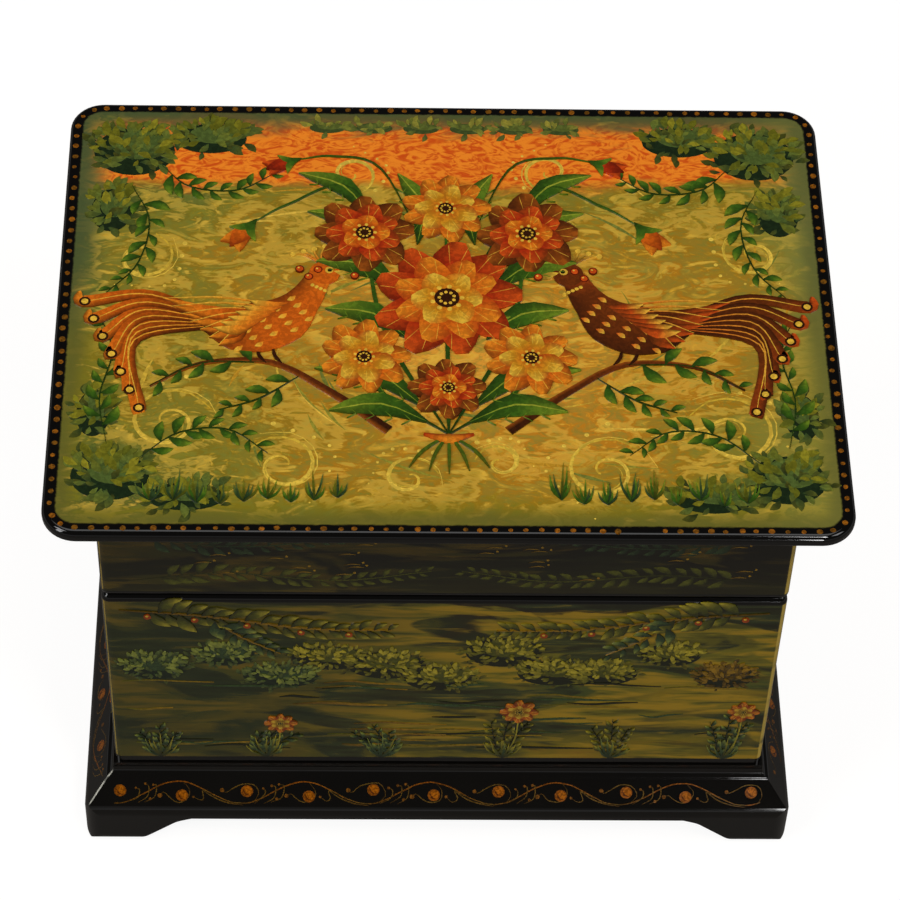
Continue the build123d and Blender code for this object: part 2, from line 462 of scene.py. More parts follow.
# %% Ground of the lid's picture
lid_half_width, lid_half_depth = panel_high.x, panel_high.y
lid_radius = 7.0
under_margin = 2.0
glow_centre = (8.0, -10.0)
glow_reach = (74.0, 50.0)
lid_stops = [
    (0.0, tint(232, 168, 96)),
    (0.3, tint(194, 132, 52)),
    (0.52, tint(166, 126, 48)),
    (0.72, tint(136, 122, 54)),
    (0.88, tint(104, 110, 66)),
    (1.0, tint(76, 90, 72)),
]
swirl_count = 26.0
sunset_level = 44.5
sunset_reach = 78.0
sunset_height = 12.0

material, wire = new_material("lid_painting")
x, y, z = coordinates(wire)
cloud = noise(wire, 30.0, detail=2.0, warp=1.4)
brushing = noise(wire, 12.0, detail=5.0, stretch=(1.0, 2.2, 1.0), warp=2.6)
wisps = noise(wire, 5.0, detail=4.0, stretch=(1.0, 1.8, 1.0), warp=3.0, shift=5.0)
off_x = (x - glow_centre[0]) / glow_reach[0]
off_y = (y - glow_centre[1]) / glow_reach[1]
far = (off_x * off_x + off_y * off_y).root() * 0.72 + (cloud - 0.5) * 0.6 + (brushing - 0.5) * 0.45
field = ramp(wire, far, lid_stops)
swirl = (far * swirl_count + cloud * 7.0 + wisps * 3.0).wave()
for touch in (
    (brushing, 0.53, 0.68, 0.45, tint(240, 200, 112)),
    (brushing, 0.46, 0.34, 0.5, tint(142, 140, 66)),
    (wisps, 0.48, 0.36, 0.4, tint(118, 132, 84)),
    (wisps, 0.58, 0.7, 0.35, tint(240, 192, 84)),
    (swirl, 0.1, 0.95, 0.34, tint(248, 212, 136)),
    (swirl, -0.2, -0.95, 0.34, tint(126, 138, 92)),
):
    field = touched(field, *touch)
print("lid ground", len(lid_stops), "tones")

# %% Sunset strip, shaded edge and black border of the lid
drifting = y + (cloud - 0.5) * 10.0 + (brushing - 0.5) * 5.0 - sunset_level
sunset = drifting.size().step(sunset_height, sunset_height - 5.0)
sunset = sunset * x.size().step(sunset_reach, sunset_reach - 10.0)
field = sunset.mix(field, wisps.step(0.36, 0.58).mix(tint(214, 86, 38), tint(248, 146, 66)))
inner = inside_by(x, y, lid_half_width, lid_half_depth, lid_radius)
shade = (inner + (brushing - 0.5) * 12.0 + (cloud - 0.5) * 8.0).step(11.0, 3.5)
edge_tone = (y + (cloud - 0.5) * 40.0).step(-30.0, 25.0).mix(tint(130, 124, 40), tint(82, 100, 92))
field = (shade * 0.85).mix(field, edge_tone)
field = touched(field, x + (cloud - 0.5) * 24.0, 56.0, 76.0, 0.5, tint(150, 150, 108))
field = touched(field, inner + (cloud - 0.5) * 5.0, 8.0, 3.2, 0.5, tint(66, 80, 82))
painted = (inner + (wisps - 0.5) * 0.5).step(border_width - 0.25, border_width + 0.25)
painted = painted * z.step(panel_high.z - 0.9, panel_high.z - 0.6)

# %% Red of the lid's underside, inside the rim
under = z.step(panel_low.z + 0.3, panel_low.z + 0.1)
for place, edge in ((x, rim_high.x - under_margin), (y, rim_high.y - under_margin)):
    under = under * place.size().step(edge + 0.2, edge - 0.2)
finish(wire, under.mix(painted.mix(black, varnished(wire, field)), red_lacquer(wire)))
dress(material, "lid_panel")

# %% Ground of the walls and the rim
wall_stops = [
    (0.0, tint(34, 28, 20)),
    (0.08, tint(124, 98, 26)),
    (0.2, tint(100, 92, 30)),
    (0.32, tint(42, 50, 40)),
    (0.44, tint(116, 100, 32)),
    (0.56, tint(58, 68, 42)),
    (0.7, tint(100, 96, 36)),
    (0.84, tint(34, 37, 28)),
    (1.0, tint(36, 29, 19)),
]
rim_stops = [
    (0.0, tint(36, 33, 18)),
    (0.25, tint(22, 20, 13)),
    (0.6, tint(14, 12, 9)),
    (1.0, tint(10, 9, 7)),
]
shell_share = 2.5
# Colour and widths of the pale corner line: partly worn paint, partly a painted highlight.
edge_line = tint(196, 172, 112)
left_line, wider_right_line = 0.7, 0.45
ragged_fade = 0.3


def side_ground(name, low, high, stops, top_band, bottom_band, force):
    """Brushed bands on the outside of a wall ring, black at its edges and red inside."""
    material, wire = new_material(name)
    x, y, z = coordinates(wire)
    drift = noise(wire, 40.0, detail=4.0, stretch=(1.0, 1.0, 2.6), warp=1.2)
    masses = noise(wire, 34.0, detail=4.0, stretch=(0.8, 0.8, 2.6), warp=0.9, shift=9.0)
    strands = noise(wire, 9.0, detail=5.0, stretch=(0.55, 0.55, 4.5), warp=0.5)
    share = (z - low.z) / (high.z - low.z) + (drift - 0.5) * 0.7 + (strands - 0.5) * 0.12
    field = ramp(wire, share, stops)
    lit = strands.step(0.4, 0.6).mix(tint(98, 94, 38), tint(146, 120, 40))
    dim = strands.step(0.4, 0.6).mix(tint(24, 25, 20), tint(44, 54, 46))
    for touch in (
        (masses, 0.51, 0.56, force, lit),
        (masses, 0.47, 0.42, force, dim),
        (strands, 0.56, 0.68, force * 0.5, tint(142, 120, 42)),
        (strands, 0.44, 0.32, force * 0.6, tint(26, 30, 24)),
        (x + (drift - 0.5) * 60.0, 20.0, -50.0, force * 0.75, tint(28, 38, 33)),
    ):
        field = touched(field, *touch)
    # A pale line down the upright corners, wider on the right: partly paint worn thin at the edge, partly a
    # painted highlight on the corner's rounding. Noise breaks it up.
    past_x, past_y = x.size() - (high.x - shell_share), y.size() - (high.y - shell_share)
    outer = past_x.high(past_y).step(-0.1, 0.1)
    corner = past_x.low(past_y) - shell_share
    wear_and_highlight = noise(wire, 7.0, shift=3.0).step(0.25, 0.5)
    line = (corner + x.step(-9.0, 9.0) * wider_right_line + left_line).step(0.0, 0.3)
    field = (line * wear_and_highlight * 0.8).mix(field, edge_line)
    ragged = z + (strands - 0.5) * 0.4
    below_top, above_foot = high.z - top_band, low.z + bottom_band
    inked = ragged.step(below_top, below_top - ragged_fade)
    inked = inked * ragged.step(above_foot, above_foot + ragged_fade)
    field = inked.mix(black, varnished(wire, field))
    finish(wire, outer.mix(red_lacquer(wire), field))
    return material


# %% Paint on the walls and the rim
wall_bands = {"top_band": 1.5, "bottom_band": 11.0, "force": 0.9}
rim_bands = {"top_band": 0.0, "bottom_band": 1.7, "force": 0.16}
dress(side_ground("wall_painting", wall_low, wall_high, wall_stops, **wall_bands), "body_walls")
dress(side_ground("rim_painting", rim_low, rim_high, rim_stops, **rim_bands), "lid_rim")

# %% [markdown]
# ## Brush strokes
#
# The drawing on such a box is built from single strokes of a fine brush, each a
# thin ridge of paint that swells and tapers. They could be an image, but real
# strokes stay crisp from any distance. Each one here is a small grid, bent along a
# curve. All the strokes of a picture are then raised together. Within a layer each
# stands a hair above the one before, because two strokes that cross at one height
# would flicker.

# %% Places, widths and colours along a stroke
def along(points, share):
    """The place and direction at a share of a smooth curve through some points."""
    spans = len(points) - 1
    span = min(int(share * spans), spans - 1)
    t = share * spans - span
    p1, p2 = Vector(points[span]), Vector(points[span + 1])
    p0 = Vector(points[span - 1]) if span else p1 * 2 - p2
    p3 = Vector(points[span + 2]) if span + 2 <= spans else p2 * 2 - p1
    pull = (p2 - p0) * t + (p0 * 2 - p1 * 5 + p2 * 4 - p3) * t**2 + (p1 * 3 - p0 - p2 * 3 + p3) * t**3
    turn = (p2 - p0) + (p0 * 2 - p1 * 5 + p2 * 4 - p3) * 2 * t + (p1 * 3 - p0 - p2 * 3 + p3) * 3 * t**2
    return p1 + pull / 2, turn.normalized()


def between(values, share):
    """The value at a share of a list, for widths and for colours."""
    place = share * (len(values) - 1)
    first = min(int(place), len(values) - 2)
    rest = place - first
    low, high = values[first], values[first + 1]
    if isinstance(low, tuple):
        return tuple(a + (b - a) * rest for a, b in zip(low, high))
    return low + (high - low) * rest


# %% A picture made of strokes
stroke_root = 0.014
stroke_step = 0.00012
batch_size = 150


class Picture:
    """Strokes on one flat face. Places on it are (right, up) pairs in millimetres."""

    def __init__(self, origin, right, up, lift=0.0):
        self.origin, self.right, self.up = Vector(origin), Vector(right), Vector(up)
        self.lift = lift
        self.out = self.right.cross(self.up)
        self.layers = []
        self.batches = []
        self.start_batch()

    def start_batch(self):
        """An empty mesh for the next strokes, which notes their colour and order."""
        self.mesh = bmesh.new()
        self.colour = self.mesh.verts.layers.float_color.new("paint")
        self.order = self.mesh.verts.layers.int.new("order")

    def store_batch(self):
        """Puts the strokes so far aside, because a short mesh takes new ones faster."""
        data = bpy.data.meshes.new("batch")
        self.mesh.to_mesh(data)
        self.mesh.free()
        self.batches.append(data)
        self.start_batch()

    def end_stroke(self, layer):
        """Notes the layer of a stroke, and starts a new batch when one is full."""
        self.layers.append(layer)
        if len(self.layers) % batch_size == 0:
            self.store_batch()

    def heights(self):
        """How far each stroke rises. Higher layers and later strokes lie on top."""
        ranks = sorted(range(len(self.layers)), key=lambda order: (self.layers[order], order))
        rises = [0.0] * len(ranks)
        for rank, order in enumerate(ranks):
            rises[order] = 2 * stroke_root + self.lift + rank * stroke_step
        return rises

    def put(self, corner, place, colour):
        """Lays one corner of the present stroke on the face, and notes its colour."""
        spot = self.origin + self.right * place[0] + self.up * place[1] - self.out * stroke_root
        corner.co = spot * MM
        corner[self.colour] = colour
        corner[self.order] = len(self.layers)

    def stroke(self, points, widths, colours, layer=1, steps=8, shade=None):
        """A stroke along a curve. shade is the colour of its left side."""
        sides = 1 if shade is None else 2
        made = bmesh.ops.create_grid(self.mesh, x_segments=steps, y_segments=sides, size=1)
        for corner in made["verts"]:
            share, side = (corner.co.x + 1) / 2, corner.co.y
            spot, turn = along(points, share)
            place = spot + Vector((-turn.y, turn.x)) * side * between(widths, share) / 2
            colour = between(colours, share)
            if side > 0 and shade is not None:
                colour = between((colour, shade), 0.75)
            self.put(corner, place, colour)
        self.end_stroke(layer)

    def line(self, points, width, colours, layer=1, steps=10):
        """A thin line with tapering ends."""
        self.stroke(points, (width * 0.3, width, width, width * 0.3), colours, layer, steps)

    def dot(self, place, radius, colour, layer=1, segments=10, squash=1.0):
        """A round touch of the brush."""
        made = bmesh.ops.create_circle(self.mesh, cap_ends=True, radius=radius, segments=segments)
        for corner in made["verts"]:
            spot = (place[0] + corner.co.x, place[1] + corner.co.y * squash)
            self.put(corner, spot, colour)
        self.end_stroke(layer)

    def close(self, name, body, slot, material):
        """Raises the strokes, and makes them one piece that rides on a body."""
        for data in self.batches:
            self.mesh.from_mesh(data)
            bpy.data.meshes.remove(data)
        rises = self.heights()
        lifted = bmesh.ops.extrude_face_region(self.mesh, geom=self.mesh.faces[:])
        for part in lifted["geom"]:
            if isinstance(part, bmesh.types.BMVert):
                part.co += self.out * rises[part[self.order]] * MM
        bmesh.ops.recalc_face_normals(self.mesh, faces=self.mesh.faces[:])
        self.mesh.verts.layers.int.remove(self.order)
        data = bpy.data.meshes.new(name)
        self.mesh.to_mesh(data)
        self.mesh.free()
        piece = bpy.data.objects.new(name, data)
        bpy.context.scene.collection.objects.link(piece)
        data.materials.append(material)
        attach(piece, body)
        print(name, len(self.layers), "strokes,", len(data.polygons), "faces")


# %% Paint of the strokes
material, wire = new_material("brush_paint")
paint = wire.node("Attribute", {"attribute_name": "paint"}, output="Color")
bristles = noise(wire, 0.9, detail=4.0, warp=0.5)
darker = wire.node("HueSaturation", {}, {"Value": 0.72, "Color": paint})
finish(wire, varnished(wire, bristles.step(0.42, 0.62).mix(darker, paint)))
brush_paint = material

# %% Powdered gold
material, wire = new_material("gold_paint")
paint = wire.node("Attribute", {"attribute_name": "paint"}, output="Color")
grains = noise(wire, 0.45, detail=4.0)
duller = wire.node("HueSaturation", {}, {"Value": 0.45, "Color": paint})
gold_colour = varnished(wire, grains.step(0.38, 0.6).mix(duller, paint))
finish(wire, gold_colour, gloss_roughness + grains * 0.15, metallic=0.2)
gold_paint = material

# %% [markdown]
# ## Gold dots round the lid
#
# A row of dots in powdered gold runs round the black border. They are set by eye,
# so their sizes, gaps and colours wander a little, and one has worn away. Even dots
# would look printed.

# %% Gold dots
dot_inset = 1.7
dot_pitch = 3.02
dot_radius = 0.6
worn_away = Vector((37.4, -56.8))
old_gold = (tint(148, 96, 38), tint(160, 100, 36), tint(176, 110, 38), tint(134, 90, 36))


def round_path(half_width, half_depth, radius, pitch):
    """Evenly spaced places round a rounded rectangle."""
    places = []
    for turn in range(4):
        quarter = math.pi / 2 * turn
        length, reach = (half_width, half_depth) if turn % 2 == 0 else (half_depth, half_width)
        straight = 2 * (length - radius)
        around = math.pi / 2 * radius
        count = round((straight + around) / pitch)
        for k in range(count):
            run = (straight + around) * k / count
            if run < straight:
                spot = Vector((run - straight / 2, -reach))
            else:
                bend = (run - straight) / radius
                turn_x, turn_y = math.sin(bend) * radius, math.cos(bend) * radius
                spot = Vector((straight / 2 + turn_x, radius - reach - turn_y))
            spot.rotate(Quaternion((0, 0, 1), quarter).to_matrix().to_2x2())
            places.append(spot)
    return places


random.seed(11)
lid_face = (0, 0, panel_high.z), (1, 0, 0), (0, 1, 0)
dots = Picture(*lid_face)
dot_line = [length - dot_inset for length in (lid_half_width, lid_half_depth, lid_radius)]
for spot in round_path(*dot_line, dot_pitch):
    spot = spot + Vector((random.gauss(0, 0.14), random.gauss(0, 0.1)))
    radius = dot_radius * random.uniform(0.78, 1.12)
    if (spot - worn_away).length > dot_pitch / 2:
        dots.dot(spot, radius, random.choice(old_gold), 1, 12, random.uniform(0.8, 1.1))
dots.close("lid_gold_dots", "lid", "lid_painting", gold_paint)

# %% [markdown]
# ## Gold scroll on the plinth
#
# A vine runs round the sloping band of the plinth: a wave with a berry under each
# crest and over each trough, tendrils that end in a drop, and sprays of three small
# shoots. One wave is drawn once, from the places that its lines pass through, and
# repeated, with every line nudged a little, as a hand would draw it.

# %% Places and colours of the scroll
slope_foot = (6.06, 13.1)
slope_head = (2.0, 18.1)
wave_length = 27.5
wave_shift = 12.0
wave_rise = 2.5
pale_gold = (tint(102, 80, 46), tint(92, 66, 30))
warm_gold = (tint(138, 78, 12), tint(166, 96, 8))
dark_gold = tint(92, 46, 10)
drop_gold = tint(118, 76, 34)
scroll_margin = 2.4
berry_radius, lit_radius = 1.35, 0.95
large_drop, small_drop = 0.5, 0.3
line_width = 0.22
print("scroll wave", wave_length, "mm long")

# %% Lines of one wave, as (right, up) from its trough or its crest
trough_tendril = [(2.7, -2.4), (3.9, -0.3), (2.8, 1.8), (0.3, 2.1), (-1.7, 1.1), (-3.2, 0.1), (-4.1, 0.6)]
crest_tendril = [(1.3, 2.3), (2.5, 0.5), (2.0, -1.4), (0.1, -2.1), (-1.7, -1.3), (-2.9, -0.1), (-3.9, -0.7)]
crest_hook = [(8.4, -1.0), (6.4, 0.0), (5.3, 0.4), (5.8, -1.3), (4.8, -1.9), (3.5, -1.0)]
second_stem = [(5.2, 0.6), (8.0, -1.3), (11.0, -2.4), (14.0, -2.9)]
trough_berry, crest_berry, lone_drop = (1.4, 0.4), (0.9, -0.6), (-5.9, -1.5)
shoots = (
    [(2.9, -2.4), (5.0, -1.0), (5.4, 0.5), (4.7, 0.9)],
    [(5.0, -2.4), (7.1, -1.0), (7.5, 1.3), (6.8, 1.7)],
    [(6.6, -2.4), (8.7, -1.0), (9.1, 1.5), (8.4, 1.9)],
)
print("a wave has", len(shoots), "shoots")


# %% Strokes of one wave
def nudged(points, shift, amount=0.12):
    """Points moved along by a shift, each by a hair to a side."""
    return [(x + shift + random.gauss(0, amount), y + random.gauss(0, amount)) for x, y in points]


def tendril(art, points, shift, end_radius):
    """A line that leaves the stem and ends in a drop."""
    places = nudged(points, shift)
    art.line(places, line_width, (pale_gold[1], pale_gold[0], pale_gold[1]), 2, 14)
    art.dot(places[-1], end_radius * random.uniform(0.85, 1.1), drop_gold, 3, 10)


def berry(art, place, shift):
    """A round berry with a lit side and a few touches on it."""
    spot = nudged([place], shift)[0]
    art.dot(spot, berry_radius, warm_gold[0], 3, 18)
    art.dot((spot[0] + 0.2, spot[1] + 0.1), lit_radius, warm_gold[1], 4, 14)
    shadow = [(spot[0] - 0.9, spot[1] + 0.5), (spot[0] - 0.3, spot[1] - 0.6), (spot[0] + 0.6, spot[1] - 0.9)]
    art.stroke(shadow, (0.1, 0.4, 0.1), (dark_gold, dark_gold), 5)


# %% The scroll on all four sides
def scroll(art, half_length):
    """The vine along one side. Near an end only those lines are drawn that fit."""
    waves = math.ceil(half_length / wave_length)
    steps = 16
    tones = (pale_gold[1], warm_gold[0], pale_gold[0])
    for k in range(-waves, waves + 1):
        trough = k * wave_length + wave_shift
        crest = trough + wave_length / 2
        wave = []
        for i in range(steps + 1):
            turn = 2 * math.pi * i / steps
            wave.append((trough + wave_length * i / steps, -wave_rise * math.cos(turn)))
        shown = [place for place in wave if abs(place[0]) < half_length]
        if len(shown) > 2:
            art.stroke(nudged(shown, 0, 0.05), (0.22, 0.28, 0.24, 0.2), tones, 1, 26)
        if abs(trough) + 1 < half_length:
            berry(art, trough_berry, trough)
        if abs(trough) + 4 < half_length:
            tendril(art, trough_tendril, trough, large_drop)
        if abs(trough + 4.5) + 4.5 < half_length:
            for shoot in shoots:
                tendril(art, shoot, trough, small_drop)
        if abs(crest) + 5 < half_length:
            berry(art, crest_berry, crest)
            tendril(art, crest_tendril, crest, large_drop)
            tendril(art, crest_hook, crest, small_drop)
            if crest + wave_length / 2 < half_length:
                art.line(nudged(second_stem, crest, 0.05), 0.26, pale_gold, 1, 12)
            art.dot(nudged([lone_drop], crest)[0], 0.34, drop_gold, 2)
        elif abs(crest) + 2 < half_length:
            berry(art, crest_berry, crest)


random.seed(5)
slope_run = (Vector(slope_head) - Vector(slope_foot)).normalized()
slope_middle = (Vector(slope_foot) + Vector(slope_head)) / 2
for side, (out, distance, half_length) in side_faces.items():
    up = out * slope_run.x + upward * slope_run.y
    middle = out * (distance + slope_middle.x) + upward * slope_middle.y
    art = Picture(middle, upward.cross(out), up)
    scroll(art, half_length + slope_middle.x - scroll_margin)
    art.close(f"plinth_scroll_{side}", "box", "black_lacquer", gold_paint)

# %% [markdown]
# ## Motifs for the pictures
#
# Folk painters build whole gardens from a handful of motifs: the drop-shaped leaf,
# the round flower with rings of petals, the curl, the leafy spray. Each is a short
# function here, drawn with nothing but strokes and dots, from dark to light as on
# the real box: first the dark form, then its body colour, then the highlights.

# %% Leaf and spray
leaf_widths = (0.06, 0.62, 1.0, 0.8, 0.05)
petal_widths = (0.3, 0.8, 1.0, 0.86, 0.3)


def leaf(art, base, tip, width, colours, bend=0.0, layer=2, shade=None, form=leaf_widths):
    """A drop of paint from base to tip. bend moves its middle to the left."""
    base, tip = Vector(base), Vector(tip)
    run = tip - base
    middle = (base + tip) / 2 + Vector((-run.y, run.x)) * bend
    art.stroke([base, middle, tip], [width * share for share in form], colours, layer, 6, shade)


def turned(angle, length=1.0):
    """A step of some length in a direction, in radians."""
    return Vector((math.cos(angle), math.sin(angle))) * length


def spray(art, points, count, size, colours, layer=2, stem=None, width=0.3):
    """A stem with leaves on both sides, which get smaller towards its tip."""
    art.line(points, width, stem or (colours[0], colours[0]), layer, 14)
    for k in range(count):
        share = 0.12 + 0.88 * (k + random.uniform(0, 0.5)) / count
        spot, turn = along(points, min(share, 1.0))
        side = 1 if k % 2 else -1
        angle = math.atan2(turn.y, turn.x) + side * random.uniform(0.5, 0.95)
        length = size * (1.1 - 0.55 * share) * random.uniform(0.8, 1.15)
        tip = spot + turned(angle, length)
        leaf(art, spot, tip, length * 0.42, colours, 0.12 * side, layer + 1, colours[0])


# %% Curl and bush
def curl(art, centre, radius, angle, turns, width, colours, layer=1):
    """A line that winds into a curl. Negative turns wind clockwise."""
    steps = max(6, round(abs(turns) * 9))
    points = []
    for k in range(steps + 1):
        share = k / steps
        step = turned(angle + 2 * math.pi * turns * share, radius * (1 - 0.86 * share))
        points.append(Vector(centre) + step)
    art.stroke(points, (width * 0.3, width, width * 0.8, width * 0.35), colours, layer, steps * 2)


def bush(art, centre, reach, count, size, palette, layer=1):
    """A dark mass under a cloud of small leaves, dark ones first and light ones higher up."""
    squash = reach[1] / reach[0]
    art.dot(centre, reach[0] * 0.86, palette[0], layer, 24, squash)
    lit_centre = (centre[0] + reach[0] * 0.1, centre[1] + reach[1] * 0.25)
    art.dot(lit_centre, reach[0] * 0.6, between(palette, 0.4), layer, 20, squash * 0.9)
    for k in range(count):
        share = k / count
        spread = turned(random.uniform(0, 2 * math.pi), math.sqrt(random.random()) * (1 - 0.25 * share))
        rise = spread.y * (1 - 0.3 * share) + 0.4 * share
        spot = Vector((centre[0] + spread.x * reach[0], centre[1] + rise * reach[1]))
        angle = math.atan2(spread.y + 0.5, spread.x) + random.gauss(0, 0.5)
        length = size * random.uniform(0.6, 1.2)
        colour = between(palette, min(1.0, share * random.uniform(0.8, 1.15)))
        lighter = between((colour, palette[-1]), 0.3)
        leaf(art, spot, spot + turned(angle, length), length * 0.5, (colour, lighter), 0.1, layer + 3 * share)


# %% Grass and a row of dots
def tuft(art, base, height, count, palette, layer=1, lean=0.5, width=0.35):
    """Blades of grass that spread from one foot."""
    for k in range(count):
        side = (k + 0.5) / count * 2 - 1
        angle = math.pi / 2 - side * lean + random.gauss(0, 0.08)
        length = height * random.uniform(0.6, 1.05) * (1 - 0.3 * abs(side))
        tip = Vector(base) + turned(angle, length)
        leaf(art, base, tip, width, random.choice(palette), -side * 0.15, layer, None, (0.6, 1.0, 0.7, 0.1))


def dot_row(art, points, count, radius, colour, layer=2):
    """A row of dots that dwindle along a curve."""
    for k in range(count):
        share = k / (count - 1)
        spot, _ = along(points, share)
        art.dot(spot, radius * (1 - 0.65 * share), colour, layer, 8)


# %% Flower and bud
def flower(art, centre, radius, rings, heart, layer=6):
    """Rings of petals, each ring shorter and lighter than the one under it."""
    centre = Vector(centre)
    for n, (count, share, colours, shade) in enumerate(rings):
        for k in range(count):
            angle = 2 * math.pi * (k + 0.5 * (n % 2)) / count + random.gauss(0, 0.05)
            reach = radius * share * random.uniform(0.93, 1.05)
            width = 2 * math.pi * reach / count * 0.82
            base, tip = centre + turned(angle, reach * 0.1), centre + turned(angle, reach)
            leaf(art, base, tip, width, colours, 0.05, layer + 2 * n, shade, petal_widths)
            for turn in (-0.09, 0.09):
                start = centre + turned(angle + turn, reach * 0.55)
                end = centre + turned(angle + turn * 1.6, reach * 0.93)
                vein = [start, (start + end) / 2, end]
                art.line(vein, 0.16, (colours[-1], heart[1]), layer + 2 * n + 1, 4)
    top = layer + 2 * len(rings)
    art.dot(centre, radius * 0.17, heart[0], top, 16)
    for k in range(9):
        angle = 2 * math.pi * k / 9
        art.dot(centre + turned(angle, radius * 0.2), radius * 0.035, heart[1], top + 1, 8)
        art.dot(centre + turned(angle + 0.3, radius * 0.1), radius * 0.025, heart[1], top + 1, 8)


def bud(art, foot, tip, width, colours, sepal, layer=5):
    """A closed flower: three petals held by two sepals."""
    foot, tip = Vector(foot), Vector(tip)
    run = tip - foot
    side = Vector((-run.y, run.x)).normalized() * width
    front = (colours[-1], colours[1], colours[0])
    for swing, petal in ((0.45, colours), (-0.45, colours), (0.0, front)):
        end = tip + side * swing
        leaf(art, foot, end, width * 0.75, petal, -swing * 0.3, layer + (swing == 0), colours[0])
    for swing in (-1, 1):
        start, end = foot - run * 0.08, foot + run * 0.5 + side * swing * 0.62
        leaf(art, start, end, width * 0.36, sepal, swing * -0.2, layer + 2)


# %% Bird
def bird(art, place, face, size, coat, layer=3):
    """A perched bird. face is 1 where it looks right and -1 where it looks left."""
    deep, body, light, spark = coat

    def at(x, y):
        """A place in the bird's own measure, where its body is about as long as 1."""
        return Vector((place[0] + face * x * size, place[1] + y * size))

    for k in range(7):
        swing = k / 6
        tip = at(-1.5 + 0.5 * swing, 0.22 - 1.15 * swing)
        bow = at(-0.95 - 0.02 * k, 0.3 - 0.5 * swing)
        tail = [at(-0.3, -0.02), bow, tip, tip + (tip - bow) * 0.1 + Vector((0, size * 0.12))]
        widths = [size * w for w in (0.05, 0.1, 0.13, 0.03)]
        art.stroke(tail, widths, (deep, body, light), layer + k % 2, 16, deep)
        art.line(tail[:3], size * 0.012, (light, spark), layer + 2, 12)
        art.dot(tip, size * 0.05, deep, layer + 2, 12)
        art.dot(tip, size * 0.03, spark, layer + 3, 10)
    spine = ((-0.5, -0.06), (-0.2, -0.08), (0.12, 0.02), (0.33, 0.26), (0.45, 0.5), (0.53, 0.58))
    widths = [size * w for w in (0.05, 0.4, 0.55, 0.5, 0.32, 0.24, 0.2, 0.06)]
    art.stroke([at(*place) for place in spine], widths, (deep, body, body, light), layer + 4, 26, deep)
    art.dot(at(0.5, 0.56), size * 0.13, body, layer + 5, 18)
    leaf(art, at(0.58, 0.58), at(0.78, 0.52), size * 0.08, (spark, deep), 0.0, layer + 6)
    for k in range(4):
        top = at(0.5 - 0.09 * k, 0.86 - 0.03 * k)
        art.line([at(0.48, 0.66), at(0.47 - 0.05 * k, 0.77), top], size * 0.015, (body, spark), layer + 5, 6)
        art.dot(top, size * 0.025, spark, layer + 6, 8)
    for row in range(5):
        for k in range(4 - row // 2):
            spot = at(0.26 - 0.12 * row + 0.05 * k, 0.3 - 0.12 * row - 0.075 * k)
            tip = spot + Vector((-face * size * 0.07, -size * 0.05))
            leaf(art, spot, tip, size * 0.05, (light, spark), 0.1, layer + 6)
    for k in range(7):
        base, tip = at(0.12 - 0.04 * k, 0.2 - 0.035 * k), at(-0.85 + 0.08 * k, 0.26 - 0.085 * k)
        leaf(art, base, tip, size * 0.11, (deep, body, light), face * 0.12, layer + 7 + k % 2, deep)
        middle = (base + tip) / 2 + Vector((0, size * 0.05))
        art.line([base, middle, tip], size * 0.012, (light, spark), layer + 9, 8)
    for k in range(6):
        base, tip = at(0.2 - 0.05 * k, 0.22 - 0.045 * k), at(-0.12 - 0.06 * k, 0.24 - 0.06 * k)
        leaf(art, base, tip, size * 0.11, (body, light, spark), face * 0.15, layer + 10, deep)
    art.dot(at(0.54, 0.59), size * 0.036, spark, layer + 7, 12)
    art.dot(at(0.545, 0.59), size * 0.02, tint(18, 12, 8), layer + 8, 10)
    for k in range(5):
        art.dot(at(0.4 + 0.035 * k, 0.42 - 0.02 * k), size * 0.018, spark, layer + 7, 8)
    for step in (-0.05, 0.08):
        leg = [at(step, -0.26), at(step + 0.02, -0.36), at(step + 0.08, -0.44)]
        art.line(leg, size * 0.03, (deep, deep), layer + 3, 6)

# %% [markdown]
# ## Picture on the lid
#
# The lid carries a bright garden: two birds face a bouquet, with leafy sprays round
# them and dark bushes in the corners. The bright field stays open between the
# motifs, and pale curls drift across it, so that the dark border glows by contrast.

# %% Colours of the lid's picture
orange = (tint(150, 58, 20), tint(216, 104, 34), tint(238, 148, 58))
scarlet = (tint(104, 26, 14), tint(176, 48, 24), tint(216, 88, 40))
umber = (tint(56, 26, 14), tint(112, 52, 24), tint(164, 88, 38))
honey = (tint(150, 92, 26), tint(212, 152, 54), tint(240, 200, 108))
green = (tint(34, 62, 28), tint(62, 104, 42), tint(122, 150, 62))
moss = (tint(46, 58, 26), tint(88, 96, 36), tint(146, 144, 62))
teal = (tint(28, 46, 42), tint(50, 76, 66), tint(98, 120, 84))
far_green = (tint(70, 88, 70), tint(102, 118, 80), tint(160, 156, 96))
pale = tint(244, 214, 132)
print("lid picture in", len((orange, scarlet, umber, honey, green, moss, teal, far_green)), "palettes")

# %% Places and colours of the curls
lid_curls = (
    ((-56, -30), 9, 0.4, 1.5),
    ((-33, -41), 8, 2.6, -1.4),
    ((31, -42), 9, 0.6, 1.5),
    ((57, -32), 10, 2.8, -1.6),
    ((-63, 14), 7, 1.2, -1.3),
    ((64, 16), 7, 1.9, 1.3),
    ((-8, -44), 6, 0.2, 1.2),
    ((10, -40), 5, 3.0, -1.2),
    ((-20, 38), 6, 4.4, 1.3),
    ((22, 39), 6, 5.0, -1.3),
)
swirl_tones = (
    tint(222, 190, 106),
    tint(156, 154, 86),
    tint(240, 206, 128),
    tint(128, 138, 90),
    tint(204, 158, 72),
)
swirl_arcs = 60
swirl_centre = (8, -6)
swirl_squash = 0.62
nearest_swirl, farthest_swirl = 26, 70
print("lid has", len(lid_curls), "curls")

